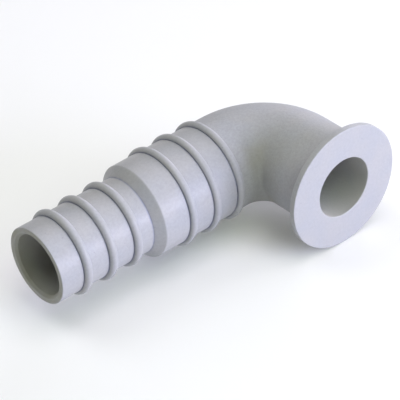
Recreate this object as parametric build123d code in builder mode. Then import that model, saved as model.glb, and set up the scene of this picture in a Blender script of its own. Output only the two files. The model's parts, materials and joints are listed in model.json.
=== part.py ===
"""A flanged 90 degree hose elbow for a boat's water outlet, with a stepped hose tail for two hose sizes.

Frame: the origin is the centre of the flange's bore, on the flange's outer face. That face looks along -Y,
the hose tail runs off along -X, and the bend lies in the XY plane, so +Z is square to it.
"""

import os

from build123d import *

# Driving dimensions, in millimetres.
bore_radius = 12.7
small_radius = 15.9
large_radius = 19.4
large_spigot_radius = 16.0
small_spigot_radius = 14.3
small_spigot_length = 6.0

bend_radius = 21.1
flange_radius = 26.2
flange_thickness = 2.5
flange_straight = 22.1
flange_socket_depth = 1.0
rim_round = 0.3

tail_reach = 114.3
mouth_to_first_ring = 11.95
ring_pitch = 12.0
rings_per_stage = 3
last_ring_to_bend = 8.7
step_from_mouth = 43.7
step_length = 3.6
mouth_lead_in = 1.1
mouth_outer_round = 0.3

small_ring_round = 1.8
large_ring_round = 1.6
ring_seat_depth = 1.0

# Places that follow from them.
bend_start_x = -bend_radius
bend_end_y = flange_thickness + flange_straight
tail_axis_y = bend_end_y + bend_radius
mouth_x = -tail_reach
step_start_x = mouth_x + step_from_mouth
step_end_x = step_start_x + step_length
first_small_ring_x = mouth_x + mouth_to_first_ring
last_large_ring_x = bend_start_x - last_ring_to_bend
first_large_ring_x = last_large_ring_x - (rings_per_stage - 1) * ring_pitch
joint_x = last_large_ring_x + large_ring_round
flange_socket_y = flange_thickness - flange_socket_depth
small_spigot_end_x = step_start_x + small_spigot_length

tail_plane = Plane(origin=(0, tail_axis_y, 0), x_dir=(1, 0, 0), z_dir=(0, 0, 1))
tail_axis = Axis((0, tail_axis_y, 0), (1, 0, 0))
bend_axis = Axis((bend_start_x, bend_end_y, 0), (0, 0, -1))

# Each ring: its name, its place along the tail, the tube it stands on and the radius of its half-round crown.
small_rings = []
large_rings = []
for number in range(rings_per_stage):
    small_ring_x = first_small_ring_x + number * ring_pitch
    large_ring_x = first_large_ring_x + number * ring_pitch
    small_rings.append((f"small_stage_ring_{number + 1}", small_ring_x, small_radius, small_ring_round))
    large_rings.append((f"large_stage_ring_{number + 1}", large_ring_x, large_radius, large_ring_round))

parts = []

# The small stage of the hose tail: a plain tube with a bevelled mouth and a spigot that enters the large stage.
with BuildPart() as small_stage_tube:
    with BuildSketch(tail_plane):
        with BuildLine():
            Polyline(
                (mouth_x, bore_radius),
                (mouth_x, small_radius),
                (step_start_x, small_radius),
                (step_start_x, small_spigot_radius),
                (small_spigot_end_x, small_spigot_radius),
                (small_spigot_end_x, bore_radius),
                close=True,
            )
        make_face()
    revolve(axis=tail_axis)
    mouth_edges = small_stage_tube.edges().group_by(Axis.X)[0].sort_by(SortBy.RADIUS)
    chamfer(mouth_edges[0], mouth_lead_in)
    fillet(mouth_edges[-1], mouth_outer_round)
    for name, ring_x, tube_radius, crown_radius in small_rings:
        with BuildSketch(tail_plane):
            with Locations((ring_x, tube_radius)):
                Rectangle(2 * crown_radius, 2 * ring_seat_depth)
        revolve(axis=tail_axis, mode=Mode.SUBTRACT)
small_stage_tube.part.label = "small_stage_tube"
parts.append(small_stage_tube.part)

# The large stage: a cone up from the small stage, a plain tube and a spigot that enters the elbow.
with BuildPart() as large_stage_tube:
    with BuildSketch(tail_plane):
        with BuildLine():
            Polyline(
                (step_start_x, small_spigot_radius),
                (step_start_x, small_radius),
                (step_end_x, large_radius),
                (joint_x, large_radius),
                (joint_x, large_spigot_radius),
                (bend_start_x, large_spigot_radius),
                (bend_start_x, bore_radius),
                (small_spigot_end_x, bore_radius),
                (small_spigot_end_x, small_spigot_radius),
                close=True,
            )
        make_face()
    revolve(axis=tail_axis)
    for name, ring_x, tube_radius, crown_radius in large_rings:
        with BuildSketch(tail_plane):
            with Locations((ring_x, tube_radius)):
                Rectangle(2 * crown_radius, 2 * ring_seat_depth)
        revolve(axis=tail_axis, mode=Mode.SUBTRACT)
large_stage_tube.part.label = "large_stage_tube"
parts.append(large_stage_tube.part)

# The rings: each has a square foot in its seat and a half-round crown that the hose grips.
for name, ring_x, tube_radius, crown_radius in small_rings + large_rings:
    with BuildPart() as ring:
        with BuildSketch(tail_plane):
            with BuildLine():
                foot = Polyline(
                    (ring_x + crown_radius, tube_radius),
                    (ring_x + crown_radius, tube_radius - ring_seat_depth),
                    (ring_x - crown_radius, tube_radius - ring_seat_depth),
                    (ring_x - crown_radius, tube_radius),
                )
                ThreePointArc(foot @ 1, (ring_x, tube_radius + crown_radius), foot @ 0)
            make_face()
        revolve(axis=tail_axis)
    ring.part.label = name
    parts.append(ring.part)

# The elbow: a round tube, straight, through a quarter bend and straight again into the flange's socket.
with BuildPart() as elbow:
    for radius, mode in ((large_radius, Mode.ADD), (bore_radius, Mode.SUBTRACT)):
        with BuildSketch(Plane(origin=(joint_x, tail_axis_y, 0), z_dir=(1, 0, 0))):
            Circle(radius)
        extrude(amount=bend_start_x - joint_x, mode=mode)
        with BuildSketch(Plane(origin=(bend_start_x, tail_axis_y, 0), z_dir=(1, 0, 0))):
            Circle(radius)
        revolve(axis=bend_axis, revolution_arc=90, mode=mode)
        with BuildSketch(Plane(origin=(0, flange_socket_y, 0), z_dir=(0, 1, 0))):
            Circle(radius)
        extrude(amount=bend_end_y - flange_socket_y, mode=mode)
    with BuildSketch(Plane(origin=(joint_x, tail_axis_y, 0), z_dir=(1, 0, 0))):
        Circle(large_spigot_radius)
    extrude(amount=bend_start_x - joint_x, mode=Mode.SUBTRACT)
elbow.part.label = "elbow"
parts.append(elbow.part)

# The flange: a thin flat disc with a shallow socket in its back for the elbow's end.
with BuildPart() as flange:
    with BuildSketch(Plane.XY):
        with BuildLine():
            Polyline(
                (bore_radius, 0),
                (flange_radius, 0),
                (flange_radius, flange_thickness),
                (large_radius, flange_thickness),
                (large_radius, flange_socket_y),
                (bore_radius, flange_socket_y),
                close=True,
            )
        make_face()
    revolve(axis=Axis.Y)
    rim_edges = flange.edges().filter_by(GeomType.CIRCLE).sort_by(SortBy.RADIUS)[-2:]
    fillet(rim_edges, rim_round)
flange.part.label = "flange"
parts.append(flange.part)

os.makedirs("parts", exist_ok=True)
for part in parts:
    export_step(part, f"parts/{part.label}.step")
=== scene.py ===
"""A flanged 90 degree hose elbow in light grey moulded plastic, on a pale floor under soft studio light.

Every piece is a round body about one centreline, which runs straight along the hose tail, through the
quarter bend and straight to the flange. An outline gives its section as (s, r) points: s is the way along
the centreline from the start of the bend, r the distance from it. Lengths are in metres.
"""

import json
import math

import bmesh
import bpy
from mathutils import Matrix, Vector


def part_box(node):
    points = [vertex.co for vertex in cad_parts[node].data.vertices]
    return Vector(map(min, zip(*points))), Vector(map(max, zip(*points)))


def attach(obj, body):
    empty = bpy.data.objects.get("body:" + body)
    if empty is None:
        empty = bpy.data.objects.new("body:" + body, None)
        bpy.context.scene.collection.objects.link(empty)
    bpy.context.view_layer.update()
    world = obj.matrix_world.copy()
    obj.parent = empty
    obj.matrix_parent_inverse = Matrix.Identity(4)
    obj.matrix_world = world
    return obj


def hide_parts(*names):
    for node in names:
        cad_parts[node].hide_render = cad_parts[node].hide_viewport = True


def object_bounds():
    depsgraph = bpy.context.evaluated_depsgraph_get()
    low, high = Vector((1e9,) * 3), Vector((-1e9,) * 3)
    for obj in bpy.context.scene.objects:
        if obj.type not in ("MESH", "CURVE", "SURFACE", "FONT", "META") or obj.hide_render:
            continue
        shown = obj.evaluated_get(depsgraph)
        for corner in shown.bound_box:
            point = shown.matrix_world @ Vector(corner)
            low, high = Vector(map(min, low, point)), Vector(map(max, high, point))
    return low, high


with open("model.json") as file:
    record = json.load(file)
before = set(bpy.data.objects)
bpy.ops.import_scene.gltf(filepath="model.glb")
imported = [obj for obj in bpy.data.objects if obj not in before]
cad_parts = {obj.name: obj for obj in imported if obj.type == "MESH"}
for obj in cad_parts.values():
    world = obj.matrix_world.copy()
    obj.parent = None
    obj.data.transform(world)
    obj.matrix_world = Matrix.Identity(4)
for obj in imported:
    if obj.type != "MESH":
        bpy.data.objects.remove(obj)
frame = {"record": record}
cad_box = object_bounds()

MM = 0.001

# ---------------------------------------------------------------- sizes read from the frame
small_tube_low, small_tube_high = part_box("small_stage_tube")
large_tube_low, large_tube_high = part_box("large_stage_tube")
elbow_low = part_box("elbow")[0]
flange_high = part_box("flange")[1]
mounts = {mount["name"]: mount for mount in frame["record"]["mounts"]}

bore_radius = mounts["flange_bore"]["dims"]["r_mm"] * MM
small_radius = mounts["small_hose_land"]["dims"]["r_mm"] * MM
large_radius = mounts["large_hose_land"]["dims"]["r_mm"] * MM
flange_radius = flange_high.z
tail_axis_y = (large_tube_low.y + large_tube_high.y) / 2
bend_start_x = large_tube_high.x
bend_radius = -bend_start_x
bend_end_y = tail_axis_y - bend_radius
bend_length = bend_radius * math.pi / 2

mouth_s = small_tube_low.x - bend_start_x
step_start_s = large_tube_low.x - bend_start_x
small_spigot_s = small_tube_high.x - bend_start_x
joint_s = elbow_low.x - bend_start_x
flange_face_s = bend_length + bend_end_y
flange_back_s = flange_face_s - flange_high.y
flange_socket_s = flange_face_s - elbow_low.y

# ---------------------------------------------------------------- sizes of the details
LARGE_SPIGOT_RADIUS = 16.0 * MM
SMALL_SPIGOT_RADIUS = 14.3 * MM
RING_SEAT_DEPTH = 1.0 * MM
STEP_LENGTH = 3.6 * MM
MOUTH_LEAD_IN = 1.1 * MM
MOUTH_OUTER_ROUND = 0.3 * MM
LEAD_IN_ROUND = 0.25 * MM
LEAD_IN_DEGREES = 45
CREASE_WIDTH = 0.25 * MM
CREASE_DEPTH = 0.25 * MM
SHOULDER_ROUND = 1.0 * MM
RIM_ROUND = 0.3 * MM
BORE_ROUND = 0.3 * MM

# How finely the meshes follow the shapes.
STEPS_AROUND = 192
CROWN_STEPS = 24
SHOULDER_STEPS = 8
LEAD_IN_STEPS = 3
ELBOW_STEPS = 96
ELBOW_BORE_STEPS = 48
FINEST_STEP = 0.35 * MM
SHARP_ANGLE = math.radians(32)
FLAT_FACE_WEIGHT = 100

# Where brown painted shade darkens the plastic: just inside the mouth, and on the inner side of the bend.
MOUTH_PAINTED_SHADE_REACH = 9.0 * MM
BEND_PAINTED_SHADE_END = 43.0 * MM
BEND_PAINTED_SHADE_FADE = 4.0 * MM
BEND_PAINTED_SHADE_SIDE = 0.35
BEND_PAINTED_SHADE_SIDE_FADE = 0.4
BEND_PAINTED_SHADE_STRENGTH = 0.5

step_end_s = step_start_s + STEP_LENGTH

# Each ring: its name, the middle and half the width of its foot, and the radius of the tube it stands on.
rings = []
for stage, tube_radius in (("small", small_radius), ("large", large_radius)):
    for number in (1, 2, 3):
        name = f"{stage}_stage_ring_{number}"
        low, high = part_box(name)
        rings.append((name, (low.x + high.x) / 2 - bend_start_x, (high.x - low.x) / 2, tube_radius))
small_rings, large_rings = rings[:3], rings[3:]

# The inner corners, darkened with painted shade, and the outer edges, worn pale and partly lit with a
# painted highlight: (s, r, reach).
corners = [
    (step_start_s, small_radius, 0.7 * MM),
    (flange_back_s, large_radius, 0.9 * MM),
]
edges = [
    (mouth_s, small_radius, 0.7 * MM),
    (mouth_s, bore_radius + MOUTH_LEAD_IN, 0.5 * MM),
    (step_end_s, large_radius, 1.1 * MM),
    (flange_face_s, flange_radius, 0.6 * MM),
    (flange_back_s, flange_radius, 0.6 * MM),
    (flange_face_s, bore_radius, 0.6 * MM),
]
# Each ring's feet get painted shade, and its crown pale wear with a painted highlight.
for name, centre, half, tube_radius in rings:
    corners.append((centre - half, tube_radius, 0.7 * MM))
    corners.append((centre + half, tube_radius, 0.3 * MM))
    edges.append((centre, tube_radius + half, 1.1 * MM))


# ---------------------------------------------------------------- points along an outline
def arc(centre_s, centre_r, radius, start, end, steps=6):
    """Outline points of a round corner or crown, from angle start to end in degrees."""
    points = []
    for step in range(steps + 1):
        angle = math.radians(start + (end - start) * step / steps)
        points.append((centre_s + radius * math.cos(angle), centre_r + radius * math.sin(angle)))
    return points


def run(start, end, steps):
    """Outline points along a straight line, without its last point."""
    points = []
    for step in range(steps):
        part = step / steps
        points.append((start[0] + (end[0] - start[0]) * part, start[1] + (end[1] - start[1]) * part))
    return points


def finer(here, there):
    """The stretch from here to there as more points, closest together near the corners and edges."""
    middle = ((here[0] + there[0]) / 2, (here[1] + there[1]) / 2)
    clear = min(math.dist(middle, spot[:2]) for spot in corners + edges)
    if math.dist(here, there) < max(FINEST_STEP, clear):
        return [here]
    return finer(here, middle) + finer(middle, there)


def refined(outline):
    """The closed outline with every stretch of it made finer."""
    points = []
    for i, here in enumerate(outline):
        points += finer(here, outline[(i + 1) % len(outline)])
    return points


# ---------------------------------------------------------------- marks on the surface
def clamp(value):
    """The value, kept between 0 and 1."""
    return min(max(value, 0), 1)


def nearness(point, spots):
    """1 at one of the spots, 0 beyond its reach."""
    return clamp(max(1 - math.dist(point, spot[:2]) / spot[2] for spot in spots))


def painted_shade(s, r, turn):
    """How much brown painted shade darkens the plastic, 0 to 1: inside the mouth, and faintly on the
    inside of the bend.
    """
    in_mouth = clamp((small_radius - r) / BORE_ROUND) * clamp(1 - (s - mouth_s) / MOUTH_PAINTED_SHADE_REACH)
    fading_in = clamp((s + BEND_PAINTED_SHADE_FADE) / BEND_PAINTED_SHADE_FADE)
    fading_out = clamp((BEND_PAINTED_SHADE_END - s) / (2 * BEND_PAINTED_SHADE_FADE))
    inner_side = clamp((-math.cos(turn) - BEND_PAINTED_SHADE_SIDE) / BEND_PAINTED_SHADE_SIDE_FADE)
    return max(in_mouth, BEND_PAINTED_SHADE_STRENGTH * fading_in * fading_out * inner_side)


def mark_surface(mesh, outline, turns):
    """Writes what the material reads at each vertex: painted shade in the creases, worn edges with a
    painted highlight, painted light in the bore, and brown painted shade in the mouth and the bend.
    """
    along = {
        # Painted shade in the creases at the ring feet and the inner corners.
        "crease_shade": [nearness(point, corners) for point in outline],
        # Edges worn pale, partly a painted highlight on rims and ring crowns.
        "wear_and_highlight": [nearness(point, edges) for point in outline],
        # Painted light: the bore is coloured paler where little light reaches inside.
        "bore": [clamp((bore_radius + BORE_ROUND - r) / BORE_ROUND) for s, r in outline],
    }
    marks = {mark: values * len(turns) for mark, values in along.items()}
    # Brown painted shade inside the mouth and on the inner side of the bend.
    marks["painted_shade"] = [painted_shade(s, r, turn) for turn in turns for s, r in outline]
    for mark, values in marks.items():
        mesh.attributes.new(mark, "FLOAT", "POINT").data.foreach_set("value", values)


# ---------------------------------------------------------------- round bodies
def place(s, r, turn):
    """The point s along the centreline and r from it, turned from the outside of the bend towards +Z."""
    out, up = r * math.cos(turn), r * math.sin(turn)
    bend = min(max(s, 0), bend_length) / bend_radius
    before = min(s, 0)
    after = max(s - bend_length, 0)
    x = bend_start_x + before + (bend_radius + out) * math.sin(bend)
    y = bend_end_y + (bend_radius + out) * math.cos(bend) - after
    return x, y, up


def round_mesh(name, outline):
    """A closed mesh with that outline all the way round."""
    outline = refined(outline)
    count = len(outline)
    turns = [2 * math.pi * step / STEPS_AROUND for step in range(STEPS_AROUND)]
    vertices = [place(s, r, turn) for turn in turns for s, r in outline]
    faces = []
    for step in range(STEPS_AROUND):
        here, there = step * count, (step + 1) % STEPS_AROUND * count
        for i in range(count):
            j = (i + 1) % count
            faces.append((here + i, there + i, there + j, here + j))
    mesh = bpy.data.meshes.new(name)
    mesh.from_pydata(vertices, [], faces)
    mark_surface(mesh, outline, turns)
    work = bmesh.new()
    work.from_mesh(mesh)
    bmesh.ops.recalc_face_normals(work, faces=work.faces)
    work.to_mesh(mesh)
    work.free()
    mesh.shade_smooth()
    mesh.set_sharp_from_angle(angle=SHARP_ANGLE)
    return mesh


def round_body(node, outline, material):
    """A round body that stands for that CAD node."""
    name = node + "_moulded"
    mesh = round_mesh(name, outline)
    mesh.materials.append(material)
    piece = bpy.data.objects.new(name, mesh)
    bpy.context.scene.collection.objects.link(piece)
    flat = piece.modifiers.new("flat_faces", "WEIGHTED_NORMAL")
    flat.weight = FLAT_FACE_WEIGHT
    flat.keep_sharp = True
    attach(piece, "root")
    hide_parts(node)


# ---------------------------------------------------------------- colours and scales of the plastic
COOL_GREY = (0.360, 0.366, 0.386)
WARM_GREY = (0.380, 0.378, 0.384)
# Edges worn pale, partly a painted highlight on rims and ring crowns.
WORN_AND_HIGHLIT_GREY = (0.41, 0.41, 0.42)
# Painted shade: a bluish dark laid into the creases and inner corners.
CREASE_SHADE_GREY = (0.17, 0.19, 0.29)
# Painted light: a paler grey inside the bore, where little light reaches.
BORE_PAINTED_LIGHT_GREY = (0.425, 0.425, 0.40)
# Painted shade: a brown olive dark inside the mouth and on the inner side of the bend.
PAINTED_SHADE_BROWN = (0.25, 0.248, 0.192)
SPECK_SHADE = (0.78, 0.78, 0.8)
NO_SHADE = (1, 1, 1)

CLOUD_SIZE = 11 * MM
PATCH_SIZE = 3.5 * MM
SPECK_SPACING = 4.6 * MM
SPECK_INNER, SPECK_OUTER = 0.035, 0.07

# How strongly the painted light in the bore shows.
BORE_PAINTED_LIGHT_STRENGTH = 1.0
# How strongly the brown painted shade shows.
PAINTED_SHADE_STRENGTH = 0.9
# How strongly the worn, highlighted edges show.
WEAR_AND_HIGHLIGHT_STRENGTH = 0.4
# How strongly the painted crease shade shows.
CREASE_SHADE_STRENGTH = 0.75
WEAKEST_MARK = 0.55

PLASTIC_IOR = 1.46
PLASTIC_SPECULAR = 0.3
COAT_ROUGHNESS = 0.1


# ---------------------------------------------------------------- shader nodes
def feed(tree, socket, source):
    """Links the source to the socket, or sets the socket to it where it is a colour or a number."""
    if isinstance(source, bpy.types.NodeSocket):
        tree.links.new(source, socket)
    elif isinstance(source, tuple):
        socket.default_value = (*source, 1)
    else:
        socket.default_value = source


def noise(tree, where, size, detail, roughness):
    """Cloudy noise whose largest blobs are that size."""
    node = tree.nodes.new("ShaderNodeTexNoise")
    feed(tree, node.inputs["Vector"], where)
    feed(tree, node.inputs["Scale"], 1 / size)
    feed(tree, node.inputs["Detail"], detail)
    feed(tree, node.inputs["Roughness"], roughness)
    return node.outputs["Fac"]


def scatter(tree, where, spacing):
    """How far the nearest of many scattered points is, as a part of the spacing between them."""
    node = tree.nodes.new("ShaderNodeTexVoronoi")
    feed(tree, node.inputs["Vector"], where)
    feed(tree, node.inputs["Scale"], 1 / spacing)
    return node.outputs["Distance"]


def ramp(tree, value, low, high, colour_low, colour_high):
    """A colour that goes from one to the other as the value goes from low to high."""
    node = tree.nodes.new("ShaderNodeValToRGB")
    first, last = node.color_ramp.elements
    first.position, last.position = low, high
    first.color, last.color = (*colour_low, 1), (*colour_high, 1)
    feed(tree, node.inputs["Fac"], value)
    return node.outputs["Color"]


def blend(tree, kind, factor, below, above):
    """Two colours mixed; the factor or the upper colour varies over the surface."""
    node = tree.nodes.new("ShaderNodeMix")
    node.data_type = "RGBA"
    node.blend_type = kind
    colours = [socket for socket in node.inputs if socket.type == "RGBA"]
    feed(tree, node.inputs["Factor"], factor)
    feed(tree, colours[0], below)
    feed(tree, colours[1], above)
    return next(socket for socket in node.outputs if socket.type == "RGBA")


def stretch(tree, value, low, high, result_low, result_high):
    """A number that goes from one result to the other as the value goes from low to high."""
    node = tree.nodes.new("ShaderNodeMapRange")
    feed(tree, node.inputs["Value"], value)
    feed(tree, node.inputs["From Min"], low)
    feed(tree, node.inputs["From Max"], high)
    feed(tree, node.inputs["To Min"], result_low)
    feed(tree, node.inputs["To Max"], result_high)
    return node.outputs["Result"]


def mark(tree, attribute, breakup, strength):
    """One of the mesh's marks, broken up by noise so that it comes and goes."""
    node = tree.nodes.new("ShaderNodeAttribute")
    node.attribute_name = attribute
    product = tree.nodes.new("ShaderNodeMath")
    product.operation = "MULTIPLY"
    product.use_clamp = True
    feed(tree, product.inputs[0], node.outputs["Fac"])
    feed(tree, product.inputs[1], stretch(tree, breakup, 0.35, 0.65, strength * WEAKEST_MARK, strength))
    return product.outputs["Value"]


# ---------------------------------------------------------------- materials
def moulded(name, grain_size, grain_depth, grain_shade, roughness_low, roughness_high, coat):
    """Light grey moulded plastic: cloudy tint, fine grain, specks, painted shade in the creases, mouth
    and bend, worn edges with a painted highlight, painted light in the bore, and uneven gloss.
    """
    material = bpy.data.materials.new(name)
    material.use_nodes = True
    tree = material.node_tree
    shader = tree.nodes["Principled BSDF"]
    shader.inputs["IOR"].default_value = PLASTIC_IOR
    shader.inputs["Specular IOR Level"].default_value = PLASTIC_SPECULAR
    shader.inputs["Coat Weight"].default_value = coat
    shader.inputs["Coat Roughness"].default_value = COAT_ROUGHNESS

    where = tree.nodes.new("ShaderNodeTexCoord").outputs["Object"]
    clouds = noise(tree, where, CLOUD_SIZE, 4, 0.5)
    patches = noise(tree, where, PATCH_SIZE, 3, 0.6)
    grain = noise(tree, where, grain_size, 4, 0.75)
    to_speck = scatter(tree, where, SPECK_SPACING)

    darker, lighter = (1 - grain_shade,) * 3, (1 + grain_shade,) * 3
    grain_tint = ramp(tree, grain, 0.3, 0.7, darker, lighter)
    speck_tint = ramp(tree, to_speck, SPECK_INNER, SPECK_OUTER, SPECK_SHADE, NO_SHADE)
    colour = ramp(tree, clouds, 0.35, 0.65, COOL_GREY, WARM_GREY)
    colour = blend(tree, "MULTIPLY", 1.0, colour, grain_tint)
    colour = blend(tree, "MULTIPLY", 1.0, colour, speck_tint)
    # Painted light inside the bore.
    colour = blend(tree, "MIX", mark(tree, "bore", clouds, BORE_PAINTED_LIGHT_STRENGTH), colour, BORE_PAINTED_LIGHT_GREY)
    # Brown painted shade inside the mouth and on the inner side of the bend.
    colour = blend(tree, "MIX", mark(tree, "painted_shade", clouds, PAINTED_SHADE_STRENGTH), colour, PAINTED_SHADE_BROWN)
    # Edges worn pale, partly a painted highlight on rims and ring crowns.
    colour = blend(tree, "MIX", mark(tree, "wear_and_highlight", patches, WEAR_AND_HIGHLIGHT_STRENGTH), colour, WORN_AND_HIGHLIT_GREY)
    # Painted shade in the creases and inner corners.
    colour = blend(tree, "MIX", mark(tree, "crease_shade", patches, CREASE_SHADE_STRENGTH), colour, CREASE_SHADE_GREY)
    feed(tree, shader.inputs["Base Color"], colour)
    gloss = stretch(tree, patches, 0.3, 0.7, roughness_low, roughness_high)
    feed(tree, shader.inputs["Roughness"], gloss)

    relief = tree.nodes.new("ShaderNodeBump")
    feed(tree, relief.inputs["Distance"], grain_depth)
    feed(tree, relief.inputs["Height"], grain)
    feed(tree, shader.inputs["Normal"], relief.outputs["Normal"])
    return material


# Name, the grain's size, depth and shade, the lowest and highest roughness, and the coat of gloss.
tail_plastic = moulded("tail_plastic", 1.2 * MM, 0.03 * MM, 0.07, 0.38, 0.48, 0.05)
ring_plastic = moulded("ring_plastic", 1.2 * MM, 0.03 * MM, 0.07, 0.38, 0.48, 0.05)
elbow_plastic = moulded("elbow_plastic", 1.0 * MM, 0.08 * MM, 0.1, 0.5, 0.6, 0.0)
flange_plastic = moulded("flange_plastic", 1.2 * MM, 0.03 * MM, 0.06, 0.42, 0.52, 0.0)


# ---------------------------------------------------------------- the pieces' outlines
def ring_outline(centre, half, tube_radius):
    """A ring: a half-round crown on a square foot."""
    seat = tube_radius - RING_SEAT_DEPTH
    crown = arc(centre, tube_radius, half, 0, 180, CROWN_STEPS)
    return crown + [(centre - half, seat), (centre + half, seat)]


def ring_seat(centre, half, tube_radius):
    """The seat that a ring sits in, with the fine crease at its foot on the mouth's side."""
    seat = tube_radius - RING_SEAT_DEPTH
    return [
        (centre - half - CREASE_WIDTH, tube_radius),
        (centre - half, tube_radius - CREASE_DEPTH),
        (centre - half, seat),
        (centre + half, seat),
        (centre + half, tube_radius),
    ]


def small_tube_outline():
    """The small stage: a bevelled mouth, three ring seats, and a spigot into the large stage."""
    bevel = 270 - LEAD_IN_DEGREES
    set_back = LEAD_IN_ROUND * math.tan(math.radians(LEAD_IN_DEGREES / 2))
    lead_in_s = mouth_s + MOUTH_LEAD_IN + set_back
    lead_in_r = bore_radius + MOUTH_LEAD_IN + set_back
    outer_s, outer_r = mouth_s + MOUTH_OUTER_ROUND, small_radius - MOUTH_OUTER_ROUND
    points = arc(lead_in_s, bore_radius + LEAD_IN_ROUND, LEAD_IN_ROUND, 270, bevel, LEAD_IN_STEPS)
    points += arc(mouth_s + LEAD_IN_ROUND, lead_in_r, LEAD_IN_ROUND, bevel, 180, LEAD_IN_STEPS)
    points += arc(outer_s, outer_r, MOUTH_OUTER_ROUND, 180, 90)
    for name, centre, half, tube_radius in small_rings:
        points += ring_seat(centre, half, tube_radius)
    points += [
        (step_start_s, small_radius),
        (step_start_s, SMALL_SPIGOT_RADIUS),
        (small_spigot_s, SMALL_SPIGOT_RADIUS),
        (small_spigot_s, bore_radius),
    ]
    return points


def large_tube_outline():
    """The large stage: a cone with a round shoulder, three ring seats, and a spigot into the elbow."""
    slope = math.atan2(large_radius - small_radius, STEP_LENGTH)
    shoulder_s = step_end_s + SHOULDER_ROUND * math.tan(slope / 2)
    shoulder_r = large_radius - SHOULDER_ROUND
    cone = 90 + math.degrees(slope)
    points = [(step_start_s, SMALL_SPIGOT_RADIUS), (step_start_s, small_radius)]
    points += arc(shoulder_s, shoulder_r, SHOULDER_ROUND, cone, 90, SHOULDER_STEPS)
    for name, centre, half, tube_radius in large_rings:
        points += ring_seat(centre, half, tube_radius)
    # The tube ends under the last ring, so that seat has no far side.
    points.pop()
    points += [
        (joint_s, LARGE_SPIGOT_RADIUS),
        (0, LARGE_SPIGOT_RADIUS),
        (0, bore_radius),
        (small_spigot_s, bore_radius),
        (small_spigot_s, SMALL_SPIGOT_RADIUS),
    ]
    return points


def elbow_outline():
    """The elbow: from the last ring through the bend into the flange's socket, over the tube's spigot."""
    points = run((joint_s, large_radius), (flange_socket_s, large_radius), ELBOW_STEPS)
    points.append((flange_socket_s, large_radius))
    points += run((flange_socket_s, bore_radius), (0, bore_radius), ELBOW_BORE_STEPS)
    points += [(0, bore_radius), (0, LARGE_SPIGOT_RADIUS), (joint_s, LARGE_SPIGOT_RADIUS)]
    return points


def flange_outline():
    """The flange: a flat disc with crisp edges and a shallow socket for the elbow in its back."""
    rim_centre_r = flange_radius - RIM_ROUND
    points = arc(flange_face_s - RIM_ROUND, rim_centre_r, RIM_ROUND, 0, 90)
    points += arc(flange_back_s + RIM_ROUND, rim_centre_r, RIM_ROUND, 90, 180)
    points += [
        (flange_back_s, large_radius),
        (flange_socket_s, large_radius),
        (flange_socket_s, bore_radius),
    ]
    points += arc(flange_face_s - BORE_ROUND, bore_radius + BORE_ROUND, BORE_ROUND, -90, 0)
    return points


# ---------------------------------------------------------------- the pieces
for name, centre, half, tube_radius in rings:
    round_body(name, ring_outline(centre, half, tube_radius), ring_plastic)
round_body("small_stage_tube", small_tube_outline(), tail_plastic)
round_body("large_stage_tube", large_tube_outline(), tail_plastic)
round_body("elbow", elbow_outline(), elbow_plastic)
round_body("flange", flange_outline(), flange_plastic)

# ---------------------------------------------------------------- the floor
FLOOR_HALF = 2.0
FLOOR_PAINT = (0.86, 0.86, 0.86, 1)
FLOOR_ROUGHNESS = 0.9
FLOOR_GLOW = (0.9, 1, 0.66, 1)
FLOOR_GLOW_STRENGTH = 0.042

floor_mesh = bpy.data.meshes.new("floor")
floor_spots = [
    (x * FLOOR_HALF, y * FLOOR_HALF, cad_box[0].z) for x, y in ((-1, -1), (1, -1), (1, 1), (-1, 1))
]
floor_mesh.from_pydata(floor_spots, [], [(0, 1, 2, 3)])
floor = bpy.data.objects.new("floor", floor_mesh)
bpy.context.scene.collection.objects.link(floor)
floor_paint = bpy.data.materials.new("floor_paint")
floor_paint.use_nodes = True
floor_shader = floor_paint.node_tree.nodes["Principled BSDF"]
floor_shader.inputs["Base Color"].default_value = FLOOR_PAINT
floor_shader.inputs["Roughness"].default_value = FLOOR_ROUGHNESS
floor_shader.inputs["Emission Color"].default_value = FLOOR_GLOW
floor_shader.inputs["Emission Strength"].default_value = FLOOR_GLOW_STRENGTH
floor_mesh.materials.append(floor_paint)


# ---------------------------------------------------------------- the lights
def soft_light(name, azimuth, elevation, distance, width, height, watts, colour):
    """A soft box that shines on the middle of the object; azimuth 0 stands towards -Y, 90 towards +X."""
    middle = (cad_box[0] + cad_box[1]) / 2
    turn, rise = math.radians(azimuth), math.radians(elevation)
    level = math.cos(rise)
    direction = Vector((math.sin(turn) * level, -math.cos(turn) * level, math.sin(rise)))
    data = bpy.data.lights.new(name, "AREA")
    data.shape = "RECTANGLE"
    data.size, data.size_y = width, height
    data.energy = watts
    data.color = colour
    light = bpy.data.objects.new(name, data)
    light.location = middle + direction * distance
    light.rotation_euler = direction.to_track_quat("Z", "Y").to_euler()
    bpy.context.scene.collection.objects.link(light)


# Name, azimuth and elevation in degrees, distance, width and height in metres, watts, and colour.
soft_light("low_window", 45, 10, 1.1, 1.4, 0.25, 6.8, (0.98, 0.94, 1.0))
soft_light("key_softbox", 22, 12, 1.1, 0.7, 0.6, 10.1, (0.62, 0.63, 1.0))
soft_light("catch_strip", 30, 7, 1.1, 0.5, 0.08, 1.3, (0.85, 0.88, 1.0))
soft_light("front_top_softbox", -5, 48, 1.2, 0.8, 0.6, 4.0, (0.85, 1.0, 0.78))
soft_light("overhead_softbox", 30, 74, 1.2, 0.8, 0.8, 6.3, (1.0, 0.95, 0.98))
soft_light("side_softbox", 118, 20, 1.2, 1.0, 0.6, 6.2, (0.85, 0.83, 1.0))
soft_light("back_softbox", 210, 55, 1.2, 0.8, 0.8, 5.0, (0.95, 0.97, 1.0))

# ---------------------------------------------------------------- the sky
# Pale along the horizon, with a dim warm sky above it.
HORIZON = (0.85, 0.85, 0.83, 1)
LOW_SKY = (0.3, 0.3, 0.29, 1)
LOW_SKY_HEIGHT = 0.09
HIGH_SKY = (0.06, 0.055, 0.04, 1)
HIGH_SKY_HEIGHT = 0.16

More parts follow.
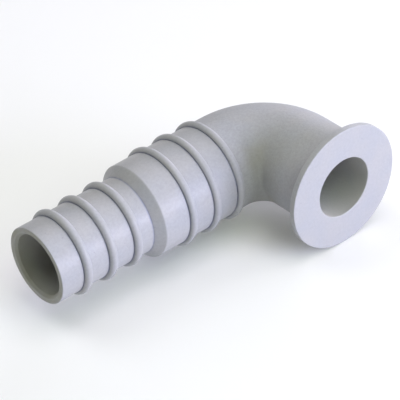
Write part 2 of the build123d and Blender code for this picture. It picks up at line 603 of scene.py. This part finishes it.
world = bpy.data.worlds.new("studio")
bpy.context.scene.world = world
world.use_nodes = True
sky_nodes, sky_links = world.node_tree.nodes, world.node_tree.links
sky_direction = sky_nodes.new("ShaderNodeTexCoord")
sky_height = sky_nodes.new("ShaderNodeSeparateXYZ")
sky = sky_nodes.new("ShaderNodeValToRGB")
sky.color_ramp.elements[0].color = HORIZON
sky.color_ramp.elements[1].position = HIGH_SKY_HEIGHT
sky.color_ramp.elements[1].color = HIGH_SKY
sky.color_ramp.elements.new(LOW_SKY_HEIGHT).color = LOW_SKY
sky_links.new(sky_direction.outputs["Generated"], sky_height.inputs["Vector"])
sky_links.new(sky_height.outputs["Z"], sky.inputs["Fac"])
sky_links.new(sky.outputs["Color"], sky_nodes["Background"].inputs["Color"])

bpy.context.scene.view_settings.view_transform = "Standard"

# ---------------------------------------------------------------- the camera
CAMERA_AZIMUTH = math.radians(-38.1)
CAMERA_ELEVATION = math.radians(36.95)
CAMERA_ROLL = math.radians(-4.25)
CAMERA_DISTANCE = 835.7 * MM
CAMERA_LENS_MM = 195.3
CAMERA_SENSOR_MM = 36
CAMERA_NEAR = 0.01
CAMERA_FAR = 50
CAMERA_AIM = Vector((-0.0436, 0.0346, -0.0012))

back = Vector((
    math.sin(CAMERA_AZIMUTH) * math.cos(CAMERA_ELEVATION),
    -math.cos(CAMERA_AZIMUTH) * math.cos(CAMERA_ELEVATION),
    math.sin(CAMERA_ELEVATION),
))
level = Vector((0, 0, 1)).cross(back).normalized()
upright = back.cross(level)
right = level * math.cos(CAMERA_ROLL) + upright * math.sin(CAMERA_ROLL)
up = upright * math.cos(CAMERA_ROLL) - level * math.sin(CAMERA_ROLL)

camera_data = bpy.data.cameras.new("camera")
camera_data.lens = CAMERA_LENS_MM
camera_data.sensor_width = CAMERA_SENSOR_MM
camera_data.clip_start = CAMERA_NEAR
camera_data.clip_end = CAMERA_FAR
camera = bpy.data.objects.new("camera", camera_data)
turned = Matrix((right, up, back)).transposed().to_4x4()
camera.matrix_world = Matrix.Translation(CAMERA_AIM + back * CAMERA_DISTANCE) @ turned
bpy.context.scene.collection.objects.link(camera)
bpy.context.scene.camera = camera
